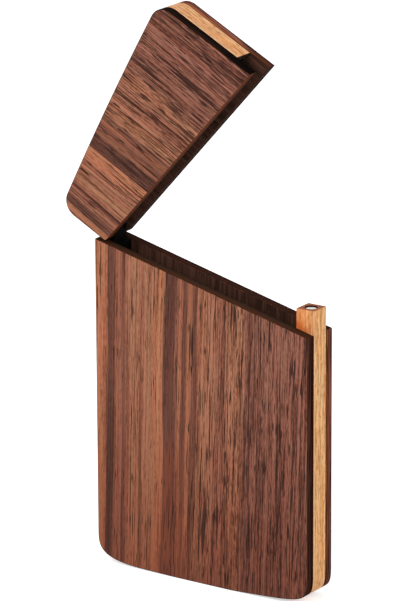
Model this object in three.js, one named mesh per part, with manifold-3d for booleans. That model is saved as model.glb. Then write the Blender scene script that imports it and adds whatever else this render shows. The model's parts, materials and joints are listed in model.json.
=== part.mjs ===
// Wooden business card case with a flip lid, shown with the lid open.
// Two walnut plates hold a thinner frame of pale beech strips between them, which leaves
// a flat pocket for a stack of cards. A slanting cut parts the case into body and lid.
// The lid turns on a hidden steel pin, and two small magnets hold it shut.
//
// Millimetres, +Z up. +X points from the hinge side to the latch side and +Y to the back.
// The origin is the middle of the foot, the flat zone of the case's underside.

import * as THREE from "three";
import { mergeVertices } from "three/addons/utils/BufferGeometryUtils.js";
import Module from "manifold-3d";

const wasm = await Module();
wasm.setup();

// What the pocket holds: a stack of cards, standing on their short edge
const cardWidth = 50.8;
const cardLength = 88.9;
const stackDepth = 5.0;
const cardSidePlay = 1.3;
const cardEndPlay = 2.7;
const stackPlay = 0.6;

// Boards and strips
const plateThickness = 2.8;
const sideStripWidth = 5.3;
const baseStripDepth = 5.3;
const topStripDepth = 5.3;
const edgeEasing = 0.2;

// Underside: a flat foot, a slow rise on each side of it, then a long corner
const footWidth = 16;
const baseCornerRun = 13.5;
const baseLiftAtHinge = 0.18;
const baseLiftAtLatch = 0.5;
const baseShoulderPull = 2;
const baseCornerTop = 8.3;
const basePullAtHinge = 4.3;
const basePullAtLatch = 6.3;

// Top: a low crown between two tighter corners
const topCrown = 0.43;
const topCornerRun = 4.0;
const topCornerDrop = 4.4;
const roundness = 0.56;

// The cut between body and lid, given by the lid's height over it on each side of the closed case
const lidHeightAtHinge = 15.8;
const lidHeightAtLatch = 31.45;
const kerf = 0.3;

// Hinge
const openAngle = THREE.MathUtils.degToRad(62);
const pivotInset = 2.0;
const pivotRise = 3.0;
const hingeCornerRadius = 1.2;
const knuckleSidePlay = 0.15;
const knuckleEndPlay = 0.4;
const tongueRootDepth = 6.8;
const pinRadius = 1.0;
const pinRunningGap = 0.05;
const pinEndPlay = 0.1;
const pinCover = 1.0;

// Latch: a post on the body fills a notch in the lid, and their magnets meet
const postRise = 6.2;
const postGap = 0.3;
const magnetRadius = 1.4;
const magnetHeight = 2.0;
const magnetRecess = 0.3;
const magnetGlueGap = 0.2;

// Sizes that follow from these
const coreThickness = stackDepth + stackPlay;
const caseThickness = coreThickness + 2 * plateThickness;
const pocketWidth = cardWidth + 2 * cardSidePlay;
const caseWidth = pocketWidth + 2 * sideStripWidth;
const pocketTop = baseStripDepth + cardLength + cardEndPlay;
const caseHeight = pocketTop + topStripDepth;
const cutHeightAtHinge = caseHeight - lidHeightAtHinge;
const cutHeightAtLatch = caseHeight - lidHeightAtLatch;
const side = caseWidth / 2;
const pocketSide = pocketWidth / 2;
const cutSlope = (cutHeightAtLatch - cutHeightAtHinge) / caseWidth;
const cutTilt = Math.atan(cutSlope);
const cutHeight = (x) => cutHeightAtHinge + cutSlope * (x + side);
const halfKerf = kerf / 2 / Math.cos(cutTilt);
const pivot = new THREE.Vector3(-side + pivotInset, 0, 0);
pivot.z = cutHeight(pivot.x) + pivotRise;
const knuckleTop = pivot.z + pivotInset;
const postTop = cutHeightAtLatch + postRise;
const wellRadius = magnetRadius + magnetGlueGap;
const wellDepth = magnetRecess + magnetHeight + magnetGlueGap;

// Room enough round the case for a cutting shape
const beyond = caseHeight;

const curveSteps = 24;
const roundSteps = 48;

// The X axis stays, a shape's Y axis becomes the case's Z, and the depth runs towards the front.
const standUp = new THREE.Matrix4().makeBasis(
  new THREE.Vector3(1, 0, 0),
  new THREE.Vector3(0, 0, 1),
  new THREE.Vector3(0, -1, 0),
);

// A closed three.js geometry as a manifold-3d solid, for cuts and joins
function solidOf(geometry) {
  const bare = geometry.clone();
  bare.deleteAttribute("normal");
  bare.deleteAttribute("uv");
  const merged = mergeVertices(bare, 1e-4);
  return new wasm.Manifold(
    new wasm.Mesh({
      numProp: 3,
      vertProperties: new Float32Array(merged.getAttribute("position").array),
      triVerts: new Uint32Array(merged.index.array),
    }),
  );
}

// The result of a cut or join as a flat-shaded three.js geometry
function geometryOf(solid) {
  const mesh = solid.getMesh();
  const indexed = new THREE.BufferGeometry();
  indexed.setAttribute("position", new THREE.BufferAttribute(mesh.vertProperties, 3));
  indexed.setIndex(new THREE.BufferAttribute(mesh.triVerts, 1));
  const geometry = indexed.toNonIndexed();
  geometry.computeVertexNormals();
  return geometry;
}

// A shape drawn in the X-Z plane, extruded from one Y to another
function slab(shape, front, back) {
  const geometry = new THREE.ExtrudeGeometry(shape, {
    depth: back - front,
    bevelEnabled: false,
    curveSegments: curveSteps,
  });
  geometry.applyMatrix4(standUp);
  geometry.translate(0, back, 0);
  return solidOf(geometry);
}

// A box between two opposite corners
function block(x0, y0, z0, x1, y1, z1) {
  const geometry = new THREE.BoxGeometry(x1 - x0, y1 - y0, z1 - z0);
  geometry.translate((x0 + x1) / 2, (y0 + y1) / 2, (z0 + z1) / 2);
  return solidOf(geometry);
}

// A round bar along Y through the hinge pivot
function pivotBar(radius, front, back) {
  const geometry = new THREE.CylinderGeometry(radius, radius, back - front, roundSteps);
  geometry.translate(pivot.x, (front + back) / 2, 0);
  geometry.translate(0, 0, pivot.z);
  return solidOf(geometry);
}

// A round disc standing on a given height, in the middle of the latch side's strip
function latchDisc(radius, bottom, top) {
  const geometry = new THREE.CylinderGeometry(radius, radius, top - bottom, roundSteps);
  geometry.rotateX(Math.PI / 2);
  geometry.translate(pocketSide + sideStripWidth / 2, 0, (bottom + top) / 2);
  return solidOf(geometry);
}

// The outline of the closed case, seen from the front
function caseOutline() {
  const foot = footWidth / 2;
  const shoulder = side - baseCornerRun;
  const cornerFoot = (lift) => lift + (lift / (shoulder - foot - baseShoulderPull)) * baseCornerRun;
  const hingeFoot = cornerFoot(baseLiftAtHinge);
  const latchFoot = cornerFoot(baseLiftAtLatch);
  const crownEnd = side - topCornerRun;
  const crownFoot = caseHeight - topCrown;
  const crownSlope = (2 * topCrown) / crownEnd;
  const cornerReach = roundness * topCornerRun;
  const cornerDip = crownFoot - crownSlope * cornerReach;
  const sideTop = crownFoot - topCornerDrop;
  const sidePull = roundness * topCornerDrop;
  const shape = new THREE.Shape();
  shape.moveTo(-foot, 0);
  shape.lineTo(foot, 0);
  shape.quadraticCurveTo(foot + baseShoulderPull, 0, shoulder, baseLiftAtLatch);
  shape.bezierCurveTo(side, latchFoot, side, baseCornerTop - basePullAtLatch, side, baseCornerTop);
  shape.lineTo(side, sideTop);
  shape.bezierCurveTo(side, sideTop + sidePull, crownEnd + cornerReach, cornerDip, crownEnd, crownFoot);
  shape.quadraticCurveTo(0, caseHeight + topCrown, -crownEnd, crownFoot);
  shape.bezierCurveTo(-crownEnd - cornerReach, cornerDip, -side, sideTop + sidePull, -side, sideTop);
  shape.lineTo(-side, baseCornerTop);
  shape.bezierCurveTo(-side, baseCornerTop - basePullAtHinge, -side, hingeFoot, -shoulder, baseLiftAtHinge);
  shape.quadraticCurveTo(-foot - baseShoulderPull, 0, -foot, 0);
  return shape;
}

// Everything under the cut, less half the kerf
function belowCut() {
  const shape = new THREE.Shape();
  shape.moveTo(-beyond, -beyond);
  shape.lineTo(beyond, -beyond);
  shape.lineTo(beyond, cutHeight(beyond) - halfKerf);
  shape.lineTo(-beyond, cutHeight(-beyond) - halfKerf);
  return slab(shape, -beyond, beyond);
}

// Everything over the cut, with the lid's hinge corner rounded so that it clears the body
function aboveCut() {
  const across = Math.PI / 2 + cutTilt;
  const centreX = -side + hingeCornerRadius;
  const centreZ = cutHeight(centreX) + halfKerf + hingeCornerRadius / Math.cos(cutTilt);
  const shape = new THREE.Shape();
  shape.moveTo(-beyond, beyond * 2);
  shape.lineTo(-beyond, centreZ);
  shape.lineTo(-side, centreZ);
  shape.absarc(centreX, centreZ, hingeCornerRadius, Math.PI, Math.PI + across, false);
  shape.lineTo(beyond, cutHeight(beyond) + halfKerf);
  shape.lineTo(beyond, beyond * 2);
  return slab(shape, -beyond, beyond);
}

// A plate of the whole closed case: its outer edge is eased, its inner edge square.
// Facing is -1 for the front plate and 1 for the back one.
function closedPlate(facing) {
  const outline = new THREE.ExtrudeGeometry(caseOutline(), {
    depth: 2 * (plateThickness - edgeEasing),
    bevelEnabled: true,
    bevelThickness: edgeEasing,
    bevelSize: edgeEasing,
    bevelOffset: -edgeEasing,
    bevelSegments: 2,
    curveSegments: curveSteps,
  });
  outline.applyMatrix4(standUp);
  outline.translate(0, plateThickness - edgeEasing, 0);
  outline.translate(0, (facing * coreThickness) / 2, 0);
  const inner = (facing * coreThickness) / 2;
  const outer = facing * beyond;
  const half = block(-beyond, Math.min(inner, outer), -beyond, beyond, Math.max(inner, outer), 2 * beyond);
  return solidOf(outline).intersect(half);
}

// A strip of the frame: the part of the closed outline inside a rectangle
function coreStrip(x0, z0, x1, z1) {
  const core = slab(caseOutline(), -coreThickness / 2, coreThickness / 2);
  return core.intersect(block(x0, -beyond, z0, x1, beyond, z1));
}

function bodyPlate(facing) {
  return closedPlate(facing).intersect(belowCut());
}

// A lid plate holds one end of the pin in a blind bore.
function lidPlate(facing) {
  const boreEnd = facing * (caseThickness / 2 - pinCover);
  const bore = pivotBar(pinRadius + pinRunningGap, Math.min(0, boreEnd), Math.max(0, boreEnd));
  return closedPlate(facing).intersect(aboveCut()).subtract(bore);
}

function bodyBaseStrip() {
  return coreStrip(-pocketSide, -beyond, pocketSide, baseStripDepth);
}

// The latch side's strip stands past the cut as a post, with a well for its magnet.
function bodyLatchStrip() {
  const well = latchDisc(wellRadius, postTop - wellDepth, postTop + beyond);
  return coreStrip(pocketSide, -beyond, beyond, postTop).subtract(well);
}

function bodyHingeStrip() {
  return coreStrip(-beyond, -beyond, -pocketSide, cutHeightAtHinge - tongueRootDepth);
}

// The tongue: a root as thick as the strips, glued between the body plates, and a thinner
// round-ended knuckle that stands past the cut between the lid plates
function hingeTongue() {
  const foot = cutHeightAtHinge - tongueRootDepth;
  const root = new THREE.Shape();
  root.moveTo(-side, foot);
  root.lineTo(-pocketSide, foot);
  root.lineTo(-pocketSide, cutHeight(-pocketSide) - halfKerf);
  root.lineTo(-side, cutHeightAtHinge - halfKerf);
  const knuckle = new THREE.Shape();
  knuckle.moveTo(-side, foot);
  knuckle.lineTo(pivot.x + pivotInset, foot);
  knuckle.lineTo(pivot.x + pivotInset, pivot.z);
  knuckle.absarc(pivot.x, pivot.z, pivotInset, 0, Math.PI, false);
  const knuckleSide = coreThickness / 2 - knuckleSidePlay;
  return slab(root, -coreThickness / 2, coreThickness / 2)
    .add(slab(knuckle, -knuckleSide, knuckleSide))
    .subtract(pivotBar(pinRadius + pinRunningGap, -beyond, beyond));
}

function hingePin() {
  const reach = caseThickness / 2 - pinCover - pinEndPlay;
  return pivotBar(pinRadius, -reach, reach);
}

function bodyMagnet() {
  const top = postTop - magnetRecess;
  return latchDisc(magnetRadius, top - magnetHeight, top);
}

function lidTopStrip() {
  return coreStrip(-pocketSide, pocketTop, pocketSide, beyond * 2);
}

// The latch side's strip of the lid ends over the post, with a well for its magnet.
function lidLatchStrip() {
  const stripEnd = postTop + postGap;
  const well = latchDisc(wellRadius, stripEnd - beyond, stripEnd + wellDepth);
  return coreStrip(pocketSide, stripEnd, beyond, beyond * 2).subtract(well);
}

function lidHingeStrip() {
  return coreStrip(-beyond, knuckleTop + knuckleEndPlay, -pocketSide, beyond * 2);
}

function lidMagnet() {
  const bottom = postTop + postGap + magnetRecess;
  return latchDisc(magnetRadius, bottom, bottom + magnetHeight);
}

const walnut = () => new THREE.MeshStandardMaterial({ color: 0x8a5746, roughness: 0.55, metalness: 0 });
const beech = () => new THREE.MeshStandardMaterial({ color: 0xe0a468, roughness: 0.55, metalness: 0 });
const ebonised = () => new THREE.MeshStandardMaterial({ color: 0x17110f, roughness: 0.6, metalness: 0 });
const steel = () => new THREE.MeshStandardMaterial({ color: 0xd8d8da, roughness: 0.25, metalness: 1 });

function piece(name, solid, material) {
  const mesh = new THREE.Mesh(geometryOf(solid), material);
  mesh.name = name;
  return mesh;
}

const body = new THREE.Group();
body.add(
  piece("body_front_plate", bodyPlate(-1), walnut()),
  piece("body_back_plate", bodyPlate(1), walnut()),
  piece("body_base_strip", bodyBaseStrip(), beech()),
  piece("body_latch_strip", bodyLatchStrip(), beech()),
  piece("body_hinge_strip", bodyHingeStrip(), beech()),
  piece("hinge_tongue", hingeTongue(), ebonised()),
  piece("hinge_pin", hingePin(), steel()),
  piece("body_magnet", bodyMagnet(), steel()),
);

// The lid's pieces are made where they lie on the closed case, and the two groups
// then turn them about the pivot to the open pose.
const lid = new THREE.Group();
lid.position.copy(pivot).negate();
lid.add(
  piece("lid_front_plate", lidPlate(-1), walnut()),
  piece("lid_back_plate", lidPlate(1), walnut()),
  piece("lid_top_strip", lidTopStrip(), beech()),
  piece("lid_latch_strip", lidLatchStrip(), beech()),
  piece("lid_hinge_strip", lidHingeStrip(), beech()),
  piece("lid_magnet", lidMagnet(), steel()),
);
const lidSwing = new THREE.Group();
lidSwing.position.copy(pivot);
lidSwing.rotation.y = -openAngle;
lidSwing.add(lid);

const cardCase = new THREE.Group();
cardCase.add(body, lidSwing);

export default cardCase;
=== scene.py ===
# Looks for the wooden business card case with a flip lid.
# The imported CAD model is the fixed frame. Each piece here is a merged and eased copy of its CAD
# node, finished with procedural walnut, beech, near-black wood or metal. Metres, +Z up.

import json
import math

import bmesh
import bpy
from bpy.props import FloatProperty, FloatVectorProperty, PointerProperty
from mathutils import Matrix, Vector


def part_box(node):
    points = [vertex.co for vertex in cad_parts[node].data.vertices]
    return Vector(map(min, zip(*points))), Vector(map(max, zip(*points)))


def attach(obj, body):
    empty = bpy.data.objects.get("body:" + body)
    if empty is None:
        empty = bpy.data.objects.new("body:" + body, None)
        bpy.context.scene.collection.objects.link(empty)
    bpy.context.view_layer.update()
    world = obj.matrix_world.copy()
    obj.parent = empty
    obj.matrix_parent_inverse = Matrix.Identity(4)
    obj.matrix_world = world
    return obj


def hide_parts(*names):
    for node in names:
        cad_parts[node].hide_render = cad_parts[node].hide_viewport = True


bl_info = {
    "name": "Wooden Card Case",
    "version": (1, 0, 0),
    "blender": (4, 5, 0),
    "location": "3D View > Sidebar > Card Case",
    "description": "Finishes the walnut and beech card case and sets it in a plain studio",
    "category": "Object",
}

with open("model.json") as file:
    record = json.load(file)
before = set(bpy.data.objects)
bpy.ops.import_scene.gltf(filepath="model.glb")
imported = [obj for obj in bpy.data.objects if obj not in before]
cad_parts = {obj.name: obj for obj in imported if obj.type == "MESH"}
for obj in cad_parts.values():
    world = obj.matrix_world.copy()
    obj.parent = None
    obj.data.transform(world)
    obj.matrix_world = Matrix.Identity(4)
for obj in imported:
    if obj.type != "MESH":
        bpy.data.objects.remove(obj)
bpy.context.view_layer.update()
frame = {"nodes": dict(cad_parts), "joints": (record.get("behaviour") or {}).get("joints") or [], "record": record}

MM = 0.001

# The lid's hinge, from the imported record: the photographed pose is this far from shut
HINGE = frame["joints"][0]
PIVOT = Vector(HINGE["pos_m"])
OPEN_ANGLE = math.radians(HINGE["range_deg"][1])

# Sizes of the closed case, from the CAD nodes
BACK_LOW, BACK_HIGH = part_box("body_back_plate")
SIDE = BACK_HIGH.x
HALF_DEPTH = BACK_HIGH.y
HALF_CORE = BACK_LOW.y
PLATE = HALF_DEPTH - HALF_CORE


def highest_at(node, x):
    """The height of a node's highest point on the side that lies at x."""
    points = [v.co for v in frame["nodes"][node].data.vertices]
    return max(point.z for point in points if abs(point.x - x) < 0.01 * MM)


CUT_AT_HINGE = highest_at("body_front_plate", -SIDE)
CUT_AT_LATCH = highest_at("body_front_plate", SIDE)
CUT_NORMAL = Vector(((CUT_AT_HINGE - CUT_AT_LATCH) / (2 * SIDE), 0, 1)).normalized()
CUT_MIDDLE = Vector((0, 0, (CUT_AT_HINGE + CUT_AT_LATCH) / 2))

# The post, the share of its depth that is kept, and its magnet
POST_LOW, POST_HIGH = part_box("body_latch_strip")
POST_SHARE = 0.985
MAGNET_LOW, MAGNET_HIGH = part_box("body_magnet")
MAGNET_X = (MAGNET_LOW.x + MAGNET_HIGH.x) / 2
MAGNET_RADIUS = (MAGNET_HIGH.x - MAGNET_LOW.x) / 2

# Shuts a point of the photographed lid
SHUT = Matrix.Translation(PIVOT) @ Matrix.Rotation(OPEN_ANGLE, 4, "Y") @ Matrix.Translation(-PIVOT)

# How squarely a face has to look in a direction to count as facing it, one being squarely:
# a plate's outer face, cut and inner face, and a strip's end at the cut, other end and well
OUTER_FACING = 0.97
CUT_FACING = 0.97
INNER_FACING = 0.9
STRIP_CUT_FACING = 0.9
STRIP_END_FACING = 0.999
WELL_FACING = 0.5

# A cut's face lies this near the cut, and a well's walls this many radii from the magnet's axis
CUT_REACH = 0.5 * MM
WELL_REACH = 1.3

# Corners this near are one, faces within this angle are one flat face, and an edge over this
# angle is eased
SAME_PLACE = 0.001 * MM
LEVEL = math.radians(0.1)
SQUARE = math.radians(60)

# How many faces round off an eased edge, on wood and on metal
WOOD_STEPS = 2
METAL_STEPS = 3

# The grain wanders: width, depth and height of the waves, and how far they reach, in millimetres
WANDERS = (
    ((26, 26, 60), 1.6),
    ((5, 5, 45), 0.7),
)
# The height at which the leaning grain is at its own place
LEAN_FROM = 50

# How far the bands' borders are ruffled, in millimetres
RUFFLE = 3.0

# The walnut's streaks: width, depth and height in millimetres, detail, roughness, weight in the
# body and weight in the lid
STREAKS = {
    "broad": ((2.4, 6, 60), 2.0, 0.6, 0.75, 0.4),
    "fine": ((0.75, 2, 32), 2.0, 0.6, 0.75, 0.75),
    "fibres": ((0.32, 1, 16), 2.0, 0.55, 0.9, 0.9),
    "hairlines": ((0.42, 2, 70), 1.0, 0.6, 1.6, 1.6),
    "grit": ((0.24, 0.5, 1.5), 1.0, 0.5, 1.1, 1.1),
}
# Their sum turns into light from this far under its middle to this far over it
STREAKS_UNDER = 0.65
STREAKS_OVER = 0.41
LIGHT_LOW = 0.24
LIGHT_HIGH = 1.60
# They are this much calmer on the hinge side, which fades out between two places across
CALM = 0.36
CALM_FADE = (-4.0, 18.0)

# A pore is drawn where its noise passes this, and where pores are close together already sooner.
# They come closer together between two places across.
BODY_PORES_OVER = 0.673
LID_PORES_OVER = 0.655
INNER_PORES_OVER = 0.68
PORES_SOONER = 0.06
PORES_RISE = (-14.0, 8.0)

# Red, green and blue of the walnut: tone at the foot and higher up, how deep the streaks go, and
# how far the hue shifts between streaks
TINTS = (
    (0.69, 0.97, 0.9, 0.05),
    (0.54, 0.95, 1.2, -0.05),
    (0.47, 0.92, 1.45, -0.02),
)
TINT_TOP = 62.0

# The walnut's figure: tones from the hinge side to the latch side, at millimetres from the middle
FIGURE = (
    (-32.0, "amber"),
    (-29.2, "amber"),
    (-28.5, "heart"),
    (-26.9, "heart"),
    (-26.2, "russet"),
    (-24.2, "russet"),
    (-23.5, "heart"),
    (-22.6, "russet"),
    (-21.6, "fawn"),
    (-18.8, "fawn"),
    (-18.1, "russet"),
    (-17.4, "fawn"),
    (-15.2, "fawn"),
    (-13.9, "amber"),
    (-11.9, "amber"),
    (-11.5, "heart"),
    (-8.2, "heart"),
    (-7.3, "russet"),
    (-6.2, "amber"),
    (-5.5, "heart"),
    (-4.7, "russet"),
    (-4.0, "amber"),
    (-3.1, "russet"),
    (-2.2, "heart"),
    (-1.2, "fawn"),
    (2.4, "fawn"),
    (4.6, "umber"),
    (7.5, "umber"),
    (9.0, "fawn"),
    (12.0, "fawn"),
    (13.2, "dusk"),
    (32.0, "dusk"),
)

# Patches of another tone: middle and half width across, lower and upper end, tone, strength.
# Those in the pore tone are broken into strokes.
BODY_PATCHES = (
    (14.8, 1.7, 38.0, 50.0, "pore", 0.8),
    (14.4, 1.3, 26.0, 37.0, "pore", 0.75),
    (14.9, 1.3, 5.0, 20.0, "pore", 0.7),
    (1.7, 1.4, 9.0, 25.0, "pore", 0.8),
    (18.2, 1.0, 25.0, 33.0, "pore", 0.6),
    (9.6, 0.8, 5.0, 16.0, "pore", 0.6),
    (14.8, 1.6, 50.0, 90.0, "pore", 0.35),
    (-27.6, 1.0, 3.0, 42.0, "pore", 0.4),
    (-9.6, 1.6, -20.0, 36.0, "ruddy", 0.65),
    (-5.0, 2.8, -20.0, 34.0, "ruddy", 0.35),
    (-5.0, 2.6, 58.0, 100.0, "heart", 0.4),
    (-8.0, 7.0, -20.0, 22.0, "ruddy", 0.25),
    (8.0, 24.0, -20.0, 6.0, "heart", 0.25),
    (-10.2, 1.4, 54.0, 100.0, "pore", 0.4),
    (-5.2, 0.9, 20.0, 100.0, "heart", 0.4),
    (-2.5, 0.6, 20.0, 100.0, "heart", 0.35),
    (-3.9, 0.7, 12.0, 100.0, "amber", 0.5),
)
LID_PATCHES = (
    (16.6, 1.2, 92.0, 101.0, "pore", 0.75),
    (11.2, 0.9, 80.0, 90.0, "pore", 0.7),
    (3.2, 0.9, 78.0, 84.0, "pore", 0.7),
    (-9.4, 1.2, 90.0, 98.0, "pore", 0.5),
    (-5.6, 2.4, 60.0, 110.0, "heart", 0.55),
    (-16.0, 0.5, 78.0, 94.0, "pore", 0.6),
    (-31.0, 2.2, 60.0, 110.0, "russet", 0.5),
)
PATCH_FADE = 4

# The floor: half its side, its gap under the case, and its glow where it is seen
FLOOR_REACH = 6.0
FLOOR_GAP = 0.05 * MM
FLOOR_GLOW = 0.55

# The lamps: azimuth and elevation, distance from the point that they aim at, and side
KEY_DIRECTION = (math.radians(-12), math.radians(42))
FILL_DIRECTION = (math.radians(75), math.radians(30))
LAMP_DISTANCE = 1.2
LAMP_SIDE = 0.8
LAMP_AIM = Vector((0, 0, 60 * MM))

# The point that the camera turns about
CAMERA_AIM = Vector((0, 0, 50 * MM))


def linear(hex_colour):
    """A written sRGB colour as the scene's linear red, green and blue."""
    parts = [int(hex_colour[i : i + 2], 16) / 255 for i in (0, 2, 4)]
    return tuple(p / 12.92 if p <= 0.04045 else ((p + 0.055) / 1.055) ** 2.4 for p in parts)


def opaque(colour):
    """Red, green and blue with a full fourth value, as a colour socket takes them."""
    return (*colour[:3], 1.0)


def colour_property(name, description, hex_colour):
    return FloatVectorProperty(
        name=name,
        description=description,
        default=linear(hex_colour),
        subtype="COLOR",
        min=0.0,
        max=1.0,
    )


class CardCaseWalnut(bpy.types.PropertyGroup):
    amber: colour_property("Amber", "Warm light bands of the walnut", "A8694B")
    fawn: colour_property("Fawn", "Pale brown bands", "9E664C")
    russet: colour_property("Russet", "Reddish bands", "8F5742")
    umber: colour_property("Umber", "Plain brown ground", "925A45")
    dusk: colour_property("Dusk", "Darker ground of the latch side", "845140")
    ruddy: colour_property("Ruddy", "Reddish patches near the foot", "7F412A")
    heart: colour_property("Heart", "Dark heartwood bands", "62392C")
    pore: colour_property("Pore", "Open pores and fine dark lines", "28100A")
    # The inner colour is walnut darkened as painted shade of the case's inside.
    inner: colour_property("Inner face", "Stained inside of the plates", "4A3026")
    lean: FloatProperty(
        name="Lean",
        description="How far the grain leans towards the latch side, per unit of height",
        default=0.03,
    )
    pore_width: FloatProperty(
        name="Pore width",
        description="Spacing of the open pores across the grain",
        default=0.30 * MM,
        unit="LENGTH",
        precision=5,
    )
    pore_length: FloatProperty(
        name="Pore length",
        description="Spacing of the open pores along the grain",
        default=15.0 * MM,
        unit="LENGTH",
        precision=5,
    )
    lid_shift: FloatProperty(
        name="Lid shift",
        description="How far the lid's figure sits off the body's, towards the hinge side",
        default=2.5 * MM,
        unit="LENGTH",
        precision=5,
    )


class CardCaseBeech(bpy.types.PropertyGroup):
    ground: colour_property("Ground", "Pale beech", "EFB87E")
    warm: colour_property("Warm", "Warmer streaks", "DC9450")
    # The pale colour also paints the highlight along the latch strip's front edge.
    pale: colour_property("Pale", "Palest fibres", "F2CDA0")
    fleck: colour_property("Fleck", "Short darker flecks", "B0723C")
    # This colour is painted shade: the deeper orange on the post's front where it leaves the cut.
    singe_and_painted_shade: colour_property("Singed", "Singed front of the post", "E0702E")
    end_grain: colour_property("End grain", "Singed end of the post", "9E5F3E")
    # The well colour is painted shade: the dark walls of the magnets' wells and the end of the lid's strip inside
    # the notch.
    well: colour_property("Well", "Scorched wells and the end of the lid's strip", "20120C")
    fleck_length: FloatProperty(
        name="Fleck length",
        description="Length of one fleck along the grain",
        default=2.2 * MM,
        unit="LENGTH",
        precision=5,
    )


class CardCaseMetal(bpy.types.PropertyGroup):
    nickel: colour_property("Nickel", "Plating of the magnets", "E4E1DC")
    steel: colour_property("Steel", "Ground steel of the pin", "C9C9CC")
    # The hinge tongue is coloured near black.
    tongue_black: colour_property("Ebonised wood", "Stained hinge tongue", "060504")


class CardCaseEasing(bpy.types.PropertyGroup):
    plate: FloatProperty(
        name="Plate edges",
        description="Width of the eased edges of the plates",
        default=0.12 * MM,
        unit="LENGTH",
        precision=5,
    )
    strip: FloatProperty(
        name="Strip edges",
        description="Width of the eased edges of the strips",
        default=0.18 * MM,
        unit="LENGTH",
        precision=5,
    )
    metal: FloatProperty(
        name="Metal edges",
        description="Width of the eased edges of the pin and the magnets",
        default=0.15 * MM,
        unit="LENGTH",
        precision=5,
    )


class CardCaseStudio(bpy.types.PropertyGroup):
    azimuth: FloatProperty(
        name="Azimuth",
        description="Turn of the camera round the case, from straight in front",
        default=math.radians(34.14),
        subtype="ANGLE",
    )
    elevation: FloatProperty(
        name="Elevation",
        description="Height of the camera over the horizon",
        default=math.radians(16.91),
        subtype="ANGLE",
    )
    roll: FloatProperty(
        name="Roll",
        description="Turn of the camera about its own axis",
        default=math.radians(-0.27),
        subtype="ANGLE",
    )
    distance: FloatProperty(
        name="Distance",
        description="From the camera to the middle of the case",
        default=1133.2 * MM,
        unit="LENGTH",
    )
    offset_right: FloatProperty(
        name="Offset right",
        description="How far right of the picture's middle the case's middle lies",
        default=3.118 * MM,
        unit="LENGTH",
        precision=5,
    )
    offset_down: FloatProperty(
        name="Offset down",
        description="How far under the picture's middle the case's middle lies",
        default=22.73 * MM,
        unit="LENGTH",
        precision=5,
    )
    lens: FloatProperty(
        name="Lens",
        description="Focal length in millimetres on a 36 mm sensor",
        default=269.55,
    )
    sky: FloatProperty(
        name="Sky",
        description="Strength of the even light from all round",
        default=0.5,
    )
    key: FloatProperty(
        name="Key lamp",
        description="Power of the large lamp to the left of the camera",
        default=6.0,
        unit="POWER",
    )
    fill: FloatProperty(
        name="Fill lamp",
        description="Power of the large lamp to the right of the camera",
        default=4.0,
        unit="POWER",
    )
    floor: colour_property("Floor", "Pale floor", "F2F1EF")


# Shader nodes


def add(tree, kind, inputs=None, **settings):
    """Adds a shader node. Each input takes a value or another node's output."""
    node = tree.nodes.new(kind)
    for setting, value in settings.items():
        setattr(node, setting, value)
    for socket, value in (inputs or {}).items():
        if isinstance(value, bpy.types.NodeSocket):
            tree.links.new(value, node.inputs[socket])
        else:
            node.inputs[socket].default_value = value
    return node


def reckon(tree, operation, first, second=0.0, third=0.0):
    """One step of arithmetic."""
    inputs = {0: first, 1: second, 2: third}
    return add(tree, "ShaderNodeMath", inputs, operation=operation).outputs[0]


def noise(tree, place, size, detail=2.0, roughness=0.5):
    """Soft noise whose grains have the given width, depth and height in millimetres."""
    scale = tuple(1 / side for side in size)
    stretched = add(tree, "ShaderNodeMapping", {"Vector": place, "Scale": scale})
    inputs = {"Vector": stretched.outputs[0], "Scale": 1.0, "Detail": detail}
    inputs["Roughness"] = roughness
    return add(tree, "ShaderNodeTexNoise", inputs).outputs[0]


def span(tree, value, low, high, out_low=0.0, out_high=1.0):
    """Turns a range of values smoothly into another, and holds it at both ends."""
    inputs = {0: value, 1: low, 2: high, 3: out_low, 4: out_high}
    node = add(tree, "ShaderNodeMapRange", inputs, interpolation_type="SMOOTHSTEP")
    return node.outputs[0]


def blend(tree, factor, first, second, how="MIX"):
    """Blends two colours."""
    inputs = {0: factor, 6: first, 7: second}
    node = add(tree, "ShaderNodeMix", inputs, data_type="RGBA", blend_type=how)
    return node.outputs[2]


def shaded(tree, colour, light, green=1.0):
    """A colour made lighter or darker, its green a little more or less so."""
    tinted = light if green == 1.0 else reckon(tree, "MULTIPLY", light, green)
    shade = add(tree, "ShaderNodeCombineColor", {0: light, 1: tinted, 2: light}).outputs[0]
    return blend(tree, 1.0, colour, shade, "MULTIPLY")


def bands(tree, value, stops):
    """Colours along a value, from stops of (value, colour) in rising order."""
    low, high = stops[0][0], stops[-1][0]
    share = reckon(tree, "DIVIDE", reckon(tree, "SUBTRACT", value, low), high - low)
    ramp = add(tree, "ShaderNodeValToRGB", {0: share})
    elements = ramp.color_ramp.elements
    while len(elements) < len(stops):
        elements.new(0.5)
    for element, (at, _) in zip(elements, stops):
        element.position = (at - low) / (high - low)
    for element, (_, colour) in zip(elements, stops):
        element.color = opaque(colour)
    return ramp.outputs[0]


def shut_place(tree, in_lid):
    """The place on the shut case in millimetres, so that the grain runs on across the cut."""
    here = add(tree, "ShaderNodeTexCoord").outputs["Object"]
    turn = OPEN_ANGLE if in_lid else 0.0
    moved = PIVOT - Matrix.Rotation(turn, 3, "Y") @ PIVOT
    inputs = {"Vector": here, "Location": moved / MM, "Rotation": (0, turn, 0)}
    inputs["Scale"] = (1 / MM,) * 3
    return add(tree, "ShaderNodeMapping", inputs).outputs[0]


def axes_of(tree, place):
    """The three parts of a place."""
    return add(tree, "ShaderNodeSeparateXYZ", {0: place}).outputs


def new_finish(name):
    """An empty material with its tree, its shader and its output."""
    material = bpy.data.materials.new(name)
    material.use_nodes = True
    tree = material.node_tree
    tree.nodes.clear()
    output = add(tree, "ShaderNodeOutputMaterial")
    shader = add(tree, "ShaderNodeBsdfPrincipled")
    tree.links.new(shader.outputs[0], output.inputs[0])
    return material, tree, shader


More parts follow.
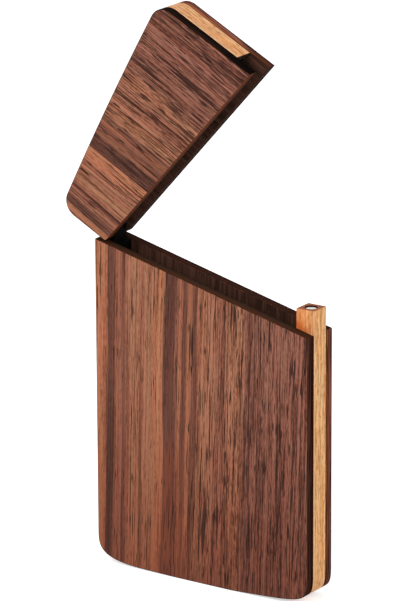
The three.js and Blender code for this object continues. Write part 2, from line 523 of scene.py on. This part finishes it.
def finish_surface(tree, shader, colour, roughness, height, depth, gloss):
    """Links colour, roughness and a bump of the given depth in metres, and sets the gloss."""
    bump = add(tree, "ShaderNodeBump", {"Height": height, "Distance": depth, "Strength": 1.0})
    tree.links.new(colour, shader.inputs["Base Color"])
    tree.links.new(roughness, shader.inputs["Roughness"])
    tree.links.new(bump.outputs[0], shader.inputs["Normal"])
    shader.inputs["Specular IOR Level"].default_value = gloss


# Materials


def walnut_grain(tree, settings, in_lid):
    """Place on the shut case, and the same with its width bent along the wandering grain."""
    place = shut_place(tree, in_lid)
    x, y, z = axes_of(tree, place)
    across = reckon(tree, "MULTIPLY_ADD", z, -settings.lean, x)
    across = reckon(tree, "ADD", across, LEAN_FROM * settings.lean)
    for size, reach in WANDERS:
        wander = reckon(tree, "SUBTRACT", noise(tree, place, size, 1.0), 0.5)
        across = reckon(tree, "MULTIPLY_ADD", wander, reach, across)
    if in_lid:
        across = reckon(tree, "ADD", across, settings.lid_shift / MM)
    along = add(tree, "ShaderNodeCombineXYZ", {0: across, 1: y, 2: z}).outputs[0]
    return place, along, across, z


def pores_of(tree, settings, along, density, limit):
    """Short dark pores that gather in streams, closer together where density is near one."""
    width = settings.pore_width / MM
    length = settings.pore_length / MM
    streams = noise(tree, along, (1.8, 5, 24), 2.0, 0.6)
    close = span(tree, streams, 0.32, 0.68, -PORES_SOONER, PORES_SOONER)
    limit = reckon(tree, "MULTIPLY_ADD", density, -PORES_SOONER, limit)
    limit = reckon(tree, "SUBTRACT", limit, close)
    long_pores = noise(tree, along, (width, 1.0, length), 1.0, 0.5)
    short_pores = noise(tree, along, (0.9 * width, 0.8, 0.36 * length), 1.0, 0.4)
    long_pores = span(tree, reckon(tree, "SUBTRACT", long_pores, limit), -0.035, 0.025)
    short_pores = span(tree, reckon(tree, "SUBTRACT", short_pores, limit), -0.03, 0.02)
    return reckon(tree, "MAXIMUM", long_pores, short_pores)


def walnut_face(name, settings, in_lid):
    """Outer faces: oiled quarter-sawn walnut, sanded and rubbed to a low sheen."""
    material, tree, shader = new_finish(name)
    _, along, across, z = walnut_grain(tree, settings, in_lid)
    ruffle = noise(tree, along, (0.7, 3, 50), 2.0, 0.6)
    ruffled = reckon(tree, "SUBTRACT", across, RUFFLE / 2)
    ruffled = reckon(tree, "MULTIPLY_ADD", ruffle, RUFFLE, ruffled)
    figure = bands(tree, ruffled, [(at, getattr(settings, tone)) for at, tone in FIGURE])

    # Streaks along the grain, calmer on the hinge side
    layers = {}
    streaks = 0.0
    middle = 0.0
    for layer, (size, detail, rough, body_weight, lid_weight) in STREAKS.items():
        weight = lid_weight if in_lid else body_weight
        layers[layer] = noise(tree, along, size, detail, rough)
        streaks = reckon(tree, "MULTIPLY_ADD", layers[layer], weight, streaks)
        middle += 0.5 * weight
    low, high = middle - STREAKS_UNDER, middle + STREAKS_OVER
    light = span(tree, streaks, low, high, LIGHT_LOW, LIGHT_HIGH)
    calm = span(tree, across, *CALM_FADE, CALM, 0.0)
    light = reckon(tree, "MULTIPLY_ADD", reckon(tree, "SUBTRACT", 1.0, light), calm, light)

    # Streaks differ a little in hue, and the lower end is darker and redder
    hue = noise(tree, along, (0.9, 3, 40), 2.0, 0.6)
    warm = span(tree, hue, 0.32, 0.68, -1.0, 1.0)
    contrast = 1.08 if in_lid else 1.0
    tint = []
    for low, high, depth, shift in TINTS:
        part = reckon(tree, "POWER", light, contrast * depth)
        part = reckon(tree, "MULTIPLY", part, span(tree, z, 0.0, TINT_TOP, low, high))
        tint.append(reckon(tree, "MULTIPLY", part, reckon(tree, "MULTIPLY_ADD", warm, shift, 1.0)))
    shade = add(tree, "ShaderNodeCombineColor", dict(enumerate(tint))).outputs[0]
    colour = blend(tree, 1.0, figure, shade, "MULTIPLY")

    # Patches of another tone
    strokes = span(tree, noise(tree, along, (0.45, 2, 6), 2.0, 0.6), 0.38, 0.56)
    for at, reach, low, high, tone, strength in LID_PATCHES if in_lid else BODY_PATCHES:
        off = reckon(tree, "ABSOLUTE", reckon(tree, "SUBTRACT", across, at))
        over = span(tree, z, low - PATCH_FADE, low + PATCH_FADE)
        under = span(tree, z, high + PATCH_FADE, high - PATCH_FADE)
        inside = reckon(tree, "MULTIPLY", over, under)
        share = span(tree, off, 0.4 * reach, 1.1 * reach, strength, 0.0)
        share = reckon(tree, "MULTIPLY", share, inside)
        if tone == "pore":
            share = reckon(tree, "MULTIPLY", share, strokes)
        colour = blend(tree, share, colour, opaque(getattr(settings, tone)))

    # Pores, closer together towards the latch side
    density = span(tree, across, *PORES_RISE, 0.0 if in_lid else -0.3, 1.0)
    limit = LID_PORES_OVER if in_lid else BODY_PORES_OVER
    pores = pores_of(tree, settings, along, density, limit)
    colour = blend(tree, reckon(tree, "MULTIPLY", pores, 0.9), colour, opaque(settings.pore))

    roughness = span(tree, pores, 0.0, 1.0, 0.5, 0.72)
    height = reckon(tree, "MULTIPLY_ADD", pores, -1.0, layers["fine"])
    finish_surface(tree, shader, colour, roughness, height, depth=0.03 * MM, gloss=0.15)
    return material


def walnut_rim(name, settings, in_lid):
    """Rims of the plates: laser-cut walnut, burnt darker towards the middle of the case."""
    material, tree, shader = new_finish(name)
    place, along, _, _ = walnut_grain(tree, settings, in_lid)
    _, y, z = axes_of(tree, place)
    uneven = noise(tree, place, (2.0, 0.8, 5.0), 2.0)
    uneven = reckon(tree, "SUBTRACT", uneven, 0.5)
    depth = reckon(tree, "ADD", y, reckon(tree, "MULTIPLY", uneven, 0.5))
    outer = HALF_DEPTH / MM
    core = HALF_CORE / MM
    front_tones = ("20130C", "1A110B", "1A0B07") if in_lid else ("462A20", "3C241D", "34140A")
    back_tones = ("8C5036", "84503E", "4C2E28") if in_lid else ("84482C", "764638", "643E38")
    stops = (
        (-outer, linear(front_tones[0])),
        (-outer + 0.50 * PLATE / MM, linear(front_tones[1])),
        (-outer + 0.62 * PLATE / MM, linear(front_tones[2])),
        (-core, linear(front_tones[2])),
        (core, linear("30160D")),
        (core + 0.10 * PLATE / MM, linear(back_tones[0])),
        (outer - 0.45 * PLATE / MM, linear(back_tones[1])),
        (outer - 0.12 * PLATE / MM, linear(back_tones[2])),
        (outer, linear("2A1612")),
    )
    tone = bands(tree, depth, stops)
    streaks = noise(tree, along, (0.8, 0.45, 14), 2.0, 0.6)
    light = span(tree, streaks, 0.36, 0.64, 0.35, 1.6)
    light = reckon(tree, "MULTIPLY", light, span(tree, z, 5.0, 60.0, 0.62, 1.0))
    if in_lid:
        # Painted shade: darker beside the notch for the post
        notch = CUT_AT_LATCH / MM + 6.0
        light = reckon(tree, "MULTIPLY", light, span(tree, z, notch, notch + 6.0, 0.42, 1.0))
    colour = shaded(tree, tone, light)
    roughness = span(tree, streaks, 0.3, 0.7, 0.7, 0.85)
    finish_surface(tree, shader, colour, roughness, streaks, depth=0.04 * MM, gloss=0.01)
    return material


def walnut_cut(name, settings, in_lid):
    """Faces of the slanting cut: laser-burnt end grain with a reddish line at the outer edge; on the lid that
    paler, redder band is a painted highlight.
    """
    material, tree, shader = new_finish(name)
    place, along, _, _ = walnut_grain(tree, settings, in_lid)
    _, y, _ = axes_of(tree, place)
    outer = HALF_DEPTH / MM
    core = HALF_CORE / MM
    # The lid's paler, redder tones towards the front edge are a painted highlight.
    front_tones = ("6E371E", "5A331F", "4A281A") if in_lid else ("482818", "3C281B", "33241A")
    stops = (
        (-outer, linear(front_tones[0])),
        (-outer + 0.30 * PLATE / MM, linear(front_tones[0])),
        (-outer + 0.50 * PLATE / MM, linear(front_tones[1])),
        (-core - 0.20 * PLATE / MM, linear(front_tones[2])),
        (-core, linear("170D09")),
        (core, linear("1E120D")),
        (core + 0.4 * PLATE / MM, linear("3A2219")),
        (outer - 0.25 * PLATE / MM, linear("2E170F")),
        (outer, linear("160B07")),
    )
    tone = bands(tree, y, stops)
    mottle = noise(tree, place, (1.6, 0.9, 1.6), 3.0, 0.6)
    red = span(tree, mottle, 0.52, 0.72, 0.0, 0.5)
    colour = blend(tree, red, tone, opaque(linear("5A2716")))
    grit = noise(tree, along, (0.4, 0.3, 0.4), 2.0)
    light = span(tree, grit, 0.3, 0.7, 0.75, 1.25)
    colour = shaded(tree, colour, light)
    roughness = span(tree, mottle, 0.3, 0.7, 0.6, 0.8)
    finish_surface(tree, shader, colour, roughness, grit, depth=0.03 * MM, gloss=0.01)
    return material


def walnut_inner(name, settings, in_lid):
    """Inner faces of the plates: walnut with its tone darkened as painted shade of the case's inside, left matt.
    """
    material, tree, shader = new_finish(name)
    _, along, across, _ = walnut_grain(tree, settings, in_lid)
    streaks = noise(tree, along, (1.2, 4, 40), 3.0, 0.6)
    light = span(tree, streaks, 0.3, 0.7, 0.65, 1.5)
    colour = shaded(tree, opaque(settings.inner), light)
    density = span(tree, across, *PORES_RISE)
    pores = pores_of(tree, settings, along, density, INNER_PORES_OVER)
    colour = blend(tree, reckon(tree, "MULTIPLY", pores, 0.5), colour, opaque(linear("120B09")))
    roughness = span(tree, pores, 0.0, 1.0, 0.65, 0.8)
    finish_surface(tree, shader, colour, roughness, streaks, depth=0.02 * MM, gloss=0.04)
    return material


def beech_side(name, settings, in_lid, level):
    """Long faces of the strips: planed pale beech with flecks along its level or upright grain."""
    material, tree, shader = new_finish(name)
    place = shut_place(tree, in_lid)
    x, y, z = axes_of(tree, place)
    if level:
        place = add(tree, "ShaderNodeCombineXYZ", {0: z, 1: y, 2: x}).outputs[0]
    streaks = noise(tree, place, (1.0, 0.8, 34), 3.0, 0.6)
    warm = span(tree, streaks, 0.40, 0.62)
    colour = blend(tree, warm, opaque(settings.ground), opaque(settings.warm))
    length = settings.fleck_length / MM
    fibres = noise(tree, place, (0.45, 0.55, 3.0 * length), 2.0, 0.6)
    light = span(tree, fibres, 0.34, 0.66, 0.76, 1.20)
    colour = shaded(tree, colour, light, 0.93 if in_lid else 1.0)
    flecks = noise(tree, place, (0.5, 0.6, length), 2.0, 0.7)
    dark = span(tree, flecks, 0.54, 0.64, 0.0, 0.75)
    pale = span(tree, flecks, 0.45, 0.34, 0.0, 0.5)
    colour = blend(tree, dark, colour, opaque(settings.fleck))
    colour = blend(tree, pale, colour, opaque(settings.pale))
    # Painted highlight: paler along the front edge of the latch side
    front_at = -HALF_CORE / MM
    latch_at = POST_HIGH.x / MM
    edge_highlight = span(tree, y, front_at + 0.2, front_at + 0.6, 0.6, 0.0)
    outside = span(tree, x, latch_at - 0.5, latch_at - 0.2)
    edge_highlight = reckon(tree, "MULTIPLY", edge_highlight, outside)
    colour = blend(tree, edge_highlight, colour, opaque(settings.pale))
    if not level and not in_lid:
        # The post's front gets painted shade in a deeper orange, most where it leaves the cut on the hinge side
        cut_at = CUT_AT_LATCH / MM
        post = span(tree, z, cut_at - 1.0, cut_at)
        front = span(tree, y, front_at + 0.5, front_at + 0.1)
        low = span(tree, z, POST_HIGH.z / MM - 1.0, cut_at + 0.5, 0.6, 1.0)
        hinge_side = span(tree, x, POST_HIGH.x / MM, POST_LOW.x / MM, 0.4, 1.0)
        singe_and_painted_shade = reckon(tree, "MULTIPLY", post, front)
        blotches = span(tree, noise(tree, place, (1.2, 1.2, 2.0), 1.0), 0.35, 0.65, 0.7, 1.15)
        for share in (low, hinge_side, blotches):
            singe_and_painted_shade = reckon(tree, "MULTIPLY", singe_and_painted_shade, share)
        colour = blend(tree, singe_and_painted_shade, colour, opaque(settings.singe_and_painted_shade))
    roughness = span(tree, flecks, 0.3, 0.7, 0.5, 0.65)
    finish_surface(tree, shader, colour, roughness, flecks, depth=0.03 * MM, gloss=0.2)
    return material


def beech_end(name, tone, in_lid):
    """Ends of the strips: end grain with fine growth rings."""
    material, tree, shader = new_finish(name)
    place = shut_place(tree, in_lid)
    rings = noise(tree, place, (0.5, 2.4, 4.0), 3.0, 0.6)
    light = span(tree, rings, 0.3, 0.7, 0.7, 1.3)
    colour = shaded(tree, opaque(tone), light)
    roughness = span(tree, rings, 0.3, 0.7, 0.6, 0.75)
    finish_surface(tree, shader, colour, roughness, rings, depth=0.02 * MM, gloss=0.1)
    return material


def painted_well_shade(name, settings, in_lid):
    """Walls of the magnets' wells: painted near-black shade of the recess."""
    material, tree, shader = new_finish(name)
    place = shut_place(tree, in_lid)
    soot = noise(tree, place, (0.6, 0.6, 0.4), 2.0, 0.6)
    light = span(tree, soot, 0.3, 0.7, 0.7, 1.3)
    colour = shaded(tree, opaque(settings.well), light)
    roughness = span(tree, soot, 0.3, 0.7, 0.7, 0.85)
    finish_surface(tree, shader, colour, roughness, soot, depth=0.02 * MM, gloss=0.02)
    return material


def near_black_hardwood(name, settings, in_lid):
    """Hinge tongue: near-black hardwood, waxed."""
    material, tree, shader = new_finish(name)
    place = shut_place(tree, in_lid)
    grain = noise(tree, place, (0.5, 0.5, 9.0), 3.0, 0.6)
    light = span(tree, grain, 0.3, 0.7, 0.5, 1.5)
    colour = shaded(tree, opaque(settings.tongue_black), light)
    roughness = span(tree, grain, 0.3, 0.7, 0.6, 0.75)
    finish_surface(tree, shader, colour, roughness, grain, depth=0.02 * MM, gloss=0.02)
    return material


def plain_metal(name, colour, size, in_lid, smooth, dull):
    """Polished metal with faint marks of the given size in millimetres."""
    material, tree, shader = new_finish(name)
    place = shut_place(tree, in_lid)
    marks = noise(tree, place, size, 3.0, 0.6)
    light = span(tree, marks, 0.3, 0.7, 0.94, 1.04)
    tone = shaded(tree, opaque(colour), light)
    roughness = span(tree, marks, 0.3, 0.7, smooth, dull)
    finish_surface(tree, shader, tone, roughness, marks, depth=0.004 * MM, gloss=0.5)
    shader.inputs["Metallic"].default_value = 1.0
    return material


def nickel_plate(name, settings, in_lid):
    """Magnets: nickel plating, bright and faintly scuffed."""
    return plain_metal(name, settings.nickel, (0.6, 0.6, 0.6), in_lid, 0.14, 0.26)


def ground_steel(name, settings, in_lid):
    """Hinge pin: ground steel with fine rings left by the grinding wheel."""
    return plain_metal(name, settings.steel, (3.0, 0.08, 3.0), in_lid, 0.25, 0.4)


# Pieces


def merged_copy(node, ease, steps):
    """A copy of a CAD node's mesh with flat faces made whole and its square edges eased."""
    shape = bmesh.new()
    shape.from_mesh(frame["nodes"][node].data)
    bmesh.ops.remove_doubles(shape, verts=shape.verts, dist=SAME_PLACE)
    bmesh.ops.dissolve_limit(shape, angle_limit=LEVEL, verts=shape.verts, edges=shape.edges)
    edges = [edge for edge in shape.edges if edge.is_manifold and edge.calc_face_angle() > SQUARE]
    bmesh.ops.bevel(
        shape,
        geom=edges,
        offset=ease,
        offset_type="OFFSET",
        affect="EDGES",
        segments=steps,
        profile=0.5,
        material=-1,
        clamp_overlap=True,
    )
    return shape


def place_piece(shape, name, node, materials, choose):
    """Makes the piece that stands for a CAD node, with a material chosen for each face."""
    bodies = frame["record"]["behaviour"]["bodies"]
    body = next(key for key, members in bodies.items() if node in members)
    shut = SHUT if body == "lid" else Matrix.Identity(4)
    turn = shut.to_3x3()
    for face in shape.faces:
        face.smooth = True
        face.material_index = choose(shut @ face.calc_center_median(), turn @ face.normal)
    mesh = bpy.data.meshes.new(name)
    shape.to_mesh(mesh)
    shape.free()
    for material in materials:
        mesh.materials.append(material)
    piece = bpy.data.objects.new(name, mesh)
    bpy.context.scene.collection.objects.link(piece)
    flats = piece.modifiers.new("Even shading", "WEIGHTED_NORMAL")
    flats.mode = "FACE_AREA"
    flats.weight = 50
    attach(piece, body)
    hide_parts(node)


def plate_face(facing):
    """Picks face, rim, cut or inner face for a plate on the given side, -1 front and 1 back."""

    def choose(centre, normal):
        outwards = normal.y * facing
        if outwards > OUTER_FACING:
            return 0
        if outwards < -INNER_FACING:
            return 3
        from_cut = abs((centre - CUT_MIDDLE).dot(CUT_NORMAL))
        if from_cut < CUT_REACH and abs(normal.dot(CUT_NORMAL)) > CUT_FACING:
            return 2
        return 1

    return choose


def strip_face(inwards):
    """Picks an upright strip's long face, end at the cut, magnet's well or sawn end."""

    def choose(centre, normal):
        to_axis = Vector((MAGNET_X - centre.x, -centre.y, 0))
        faces_axis = normal.dot(to_axis) > WELL_FACING * to_axis.length
        if faces_axis and to_axis.length < WELL_REACH * MAGNET_RADIUS:
            return 2
        towards_cut = normal.z * inwards
        if towards_cut > STRIP_CUT_FACING:
            return 1
        if towards_cut < -STRIP_END_FACING:
            return 3
        return 0

    return choose


def only_face(centre, normal):
    """Picks the only material."""
    return 0


class CARDCASE_OT_plates(bpy.types.Operator):
    """Finish the four walnut plates of the body and the lid"""

    bl_idname = "cardcase.plates"
    bl_label = "Walnut Plates"

    def execute(self, context):
        scene = context.scene
        for body in ("body", "lid"):
            in_lid = body == "lid"
            materials = [
                walnut_face(f"walnut_{body}_oiled", scene.cardcase_walnut, in_lid),
                walnut_rim(f"walnut_{body}_rim", scene.cardcase_walnut, in_lid),
                walnut_cut(f"walnut_{body}_cut", scene.cardcase_walnut, in_lid),
                walnut_inner(f"walnut_{body}_inner", scene.cardcase_walnut, in_lid),
            ]
            for side, facing in (("front", -1), ("back", 1)):
                node = f"{body}_{side}_plate"
                shape = merged_copy(node, scene.cardcase_easing.plate, WOOD_STEPS)
                place_piece(shape, f"{node}_walnut", node, materials, plate_face(facing))
        return {"FINISHED"}


class CARDCASE_OT_strips(bpy.types.Operator):
    """Finish the beech strips of the frame between the plates"""

    bl_idname = "cardcase.strips"
    bl_label = "Beech Strips"

    def execute(self, context):
        scene = context.scene
        groups = {
            "body": ("body_base_strip", "body_latch_strip", "body_hinge_strip"),
            "lid": ("lid_top_strip", "lid_latch_strip", "lid_hinge_strip"),
        }
        for body, nodes in groups.items():
            in_lid = body == "lid"
            beech = scene.cardcase_beech
            # The body's post end is burnt end grain; the lid strip's end, deep in the notch, takes the well's
            # painted shade.
            singe_and_painted_shade = beech.well if in_lid else beech.end_grain
            upright = [
                beech_side(f"beech_{body}_upright", beech, in_lid, False),
                beech_end(f"beech_{body}_cut_end_singe_and_shade", singe_and_painted_shade, in_lid),
                painted_well_shade(f"beech_{body}_well", beech, in_lid),
                beech_end(f"beech_{body}_sawn_end", beech.warm, in_lid),
            ]
            level = [beech_side(f"beech_{body}_level", beech, in_lid, True)]
            for node in nodes:
                across = node in ("body_base_strip", "lid_top_strip")
                materials = level if across else upright
                shape = merged_copy(node, scene.cardcase_easing.strip, WOOD_STEPS)
                if node == "body_latch_strip":
                    # The post is thinned a little, so that it slides in between the lid's plates
                    post = [vertex for vertex in shape.verts if vertex.co.z > CUT_AT_LATCH]
                    bmesh.ops.scale(shape, vec=(1, POST_SHARE, 1), verts=post)
                choose = only_face if across else strip_face(-1 if in_lid else 1)
                place_piece(shape, f"{node}_beech", node, materials, choose)
        return {"FINISHED"}


class CARDCASE_OT_hinge(bpy.types.Operator):
    """Finish the hinge tongue and its pin"""

    bl_idname = "cardcase.hinge"
    bl_label = "Hinge"

    def execute(self, context):
        scene = context.scene
        tongue = merged_copy("hinge_tongue", scene.cardcase_easing.strip, WOOD_STEPS)
        tongue_black = near_black_hardwood("hardwood_near_black", scene.cardcase_metal, False)
        place_piece(tongue, "hinge_tongue_near_black", "hinge_tongue", [tongue_black], only_face)
        pin = merged_copy("hinge_pin", scene.cardcase_easing.metal, METAL_STEPS)
        steel = ground_steel("steel_ground", scene.cardcase_metal, False)
        place_piece(pin, "hinge_pin_steel", "hinge_pin", [steel], only_face)
        return {"FINISHED"}


class CARDCASE_OT_magnets(bpy.types.Operator):
    """Finish the two magnets of the latch"""

    bl_idname = "cardcase.magnets"
    bl_label = "Magnets"

    def execute(self, context):
        scene = context.scene
        for body in ("body", "lid"):
            node = f"{body}_magnet"
            nickel = nickel_plate(f"nickel_{body}", scene.cardcase_metal, body == "lid")
            magnet = merged_copy(node, scene.cardcase_easing.metal, METAL_STEPS)
            place_piece(magnet, f"{node}_nickel", node, [nickel], only_face)
        return {"FINISHED"}


# Studio


def seen_directly(tree):
    """One for the rays that show a background: from the camera, a gloss or through glass."""
    path = add(tree, "ShaderNodeLightPath").outputs
    either = reckon(tree, "MAXIMUM", path["Is Camera Ray"], path["Is Glossy Ray"])
    return reckon(tree, "MAXIMUM", either, path["Is Transmission Ray"])


def around(azimuth, elevation, distance):
    """A point that lies so far from the origin, in the direction of a viewer at these angles."""
    flat = math.cos(elevation)
    direction = Vector((math.sin(azimuth) * flat, -math.cos(azimuth) * flat, math.sin(elevation)))
    return direction * distance


def area_lamp(name, direction, power):
    """A large square lamp that shines at the case from a direction."""
    place = LAMP_AIM + around(*direction, LAMP_DISTANCE)
    light = bpy.data.lights.new(name, "AREA")
    light.shape = "SQUARE"
    light.size = LAMP_SIDE
    light.energy = power
    lamp = bpy.data.objects.new(name, light)
    lamp.location = place
    lamp.rotation_mode = "QUATERNION"
    lamp.rotation_quaternion = (LAMP_AIM - place).to_track_quat("-Z", "Y")
    bpy.context.scene.collection.objects.link(lamp)


class CARDCASE_OT_studio(bpy.types.Operator):
    """Lay the pale floor, hang the soft lamps and set the camera"""

    bl_idname = "cardcase.studio"
    bl_label = "Studio"

    def execute(self, context):
        scene = context.scene
        studio = scene.cardcase_studio
        self.lay_floor(scene, studio)
        self.light(scene, studio)
        self.set_camera(scene, studio)
        scene.view_settings.view_transform = "Standard"
        return {"FINISHED"}

    def lay_floor(self, scene, studio):
        """The floor is white where it is seen, and keeps the case's shadow."""
        shape = bmesh.new()
        bmesh.ops.create_grid(shape, x_segments=1, y_segments=1, size=FLOOR_REACH)
        bmesh.ops.translate(shape, vec=(0, 0, -FLOOR_GAP), verts=shape.verts)
        mesh = bpy.data.meshes.new("floor")
        shape.to_mesh(mesh)
        shape.free()
        floor = bpy.data.objects.new("floor", mesh)
        scene.collection.objects.link(floor)
        material, tree, shader = new_finish("floor_pale_paper")
        white = (1.0, 1.0, 1.0, 1.0)
        colour = blend(tree, seen_directly(tree), opaque(studio.floor), white)
        tree.links.new(colour, shader.inputs["Base Color"])
        glow = reckon(tree, "MULTIPLY", seen_directly(tree), FLOOR_GLOW)
        tree.links.new(glow, shader.inputs["Emission Strength"])
        shader.inputs["Emission Color"].default_value = white
        shader.inputs["Roughness"].default_value = 1.0
        shader.inputs["Specular IOR Level"].default_value = 0.0
        mesh.materials.append(material)

    def light(self, scene, studio):
        """Even light from all round with two large soft lamps."""
        world = bpy.data.worlds.new("studio")
        world.use_nodes = True
        tree = world.node_tree
        tree.nodes.clear()
        strength = span(tree, seen_directly(tree), 0.0, 1.0, studio.sky, 1.0)
        inputs = {"Color": (1, 1, 1, 1), "Strength": strength}
        background = add(tree, "ShaderNodeBackground", inputs)
        output = add(tree, "ShaderNodeOutputWorld")
        tree.links.new(background.outputs[0], output.inputs[0])
        scene.world = world
        area_lamp("key_lamp", KEY_DIRECTION, studio.key)
        area_lamp("fill_lamp", FILL_DIRECTION, studio.fill)

    def set_camera(self, scene, studio):
        """The photograph's view: turned, raised and rolled round a point in the body."""
        lens = bpy.data.cameras.new("camera")
        lens.sensor_fit = "AUTO"
        lens.sensor_width = 36.0
        lens.lens = studio.lens
        lens.clip_start = 0.05
        lens.clip_end = 30.0
        camera = bpy.data.objects.new("camera", lens)
        scene.collection.objects.link(camera)
        scene.camera = camera
        back = around(studio.azimuth, studio.elevation, 1.0)
        level_right = Vector((math.cos(studio.azimuth), math.sin(studio.azimuth), 0))
        level_up = back.cross(level_right)
        turn = studio.roll
        right = math.cos(turn) * level_right + math.sin(turn) * level_up
        up = math.cos(turn) * level_up - math.sin(turn) * level_right
        place = CAMERA_AIM + studio.distance * back
        place += studio.offset_down * up - studio.offset_right * right
        camera.rotation_mode = "QUATERNION"
        camera.rotation_quaternion = Matrix((right, up, back)).transposed().to_quaternion()
        camera.location = place


class CARDCASE_PT_panel(bpy.types.Panel):
    """Lists the steps that dress the card case"""

    bl_label = "Card Case"
    bl_idname = "CARDCASE_PT_panel"
    bl_space_type = "VIEW_3D"
    bl_region_type = "UI"
    bl_category = "Card Case"

    def draw(self, context):
        for operator in OPERATORS:
            self.layout.operator(operator.bl_idname)


SETTINGS = {
    "cardcase_walnut": CardCaseWalnut,
    "cardcase_beech": CardCaseBeech,
    "cardcase_metal": CardCaseMetal,
    "cardcase_easing": CardCaseEasing,
    "cardcase_studio": CardCaseStudio,
}
OPERATORS = (
    CARDCASE_OT_plates,
    CARDCASE_OT_strips,
    CARDCASE_OT_hinge,
    CARDCASE_OT_magnets,
    CARDCASE_OT_studio,
)


def register():
    for name, group in SETTINGS.items():
        bpy.utils.register_class(group)
        setattr(bpy.types.Scene, name, PointerProperty(type=group))
    for operator in OPERATORS:
        bpy.utils.register_class(operator)
    bpy.utils.register_class(CARDCASE_PT_panel)


def unregister():
    bpy.utils.unregister_class(CARDCASE_PT_panel)
    for operator in reversed(OPERATORS):
        bpy.utils.unregister_class(operator)
    for name, group in SETTINGS.items():
        delattr(bpy.types.Scene, name)
        bpy.utils.unregister_class(group)


def main():
    register()
    bpy.ops.cardcase.plates()
    bpy.ops.cardcase.strips()
    bpy.ops.cardcase.hinge()
    bpy.ops.cardcase.magnets()
    bpy.ops.cardcase.studio()


if __name__ == "__main__":
    main()
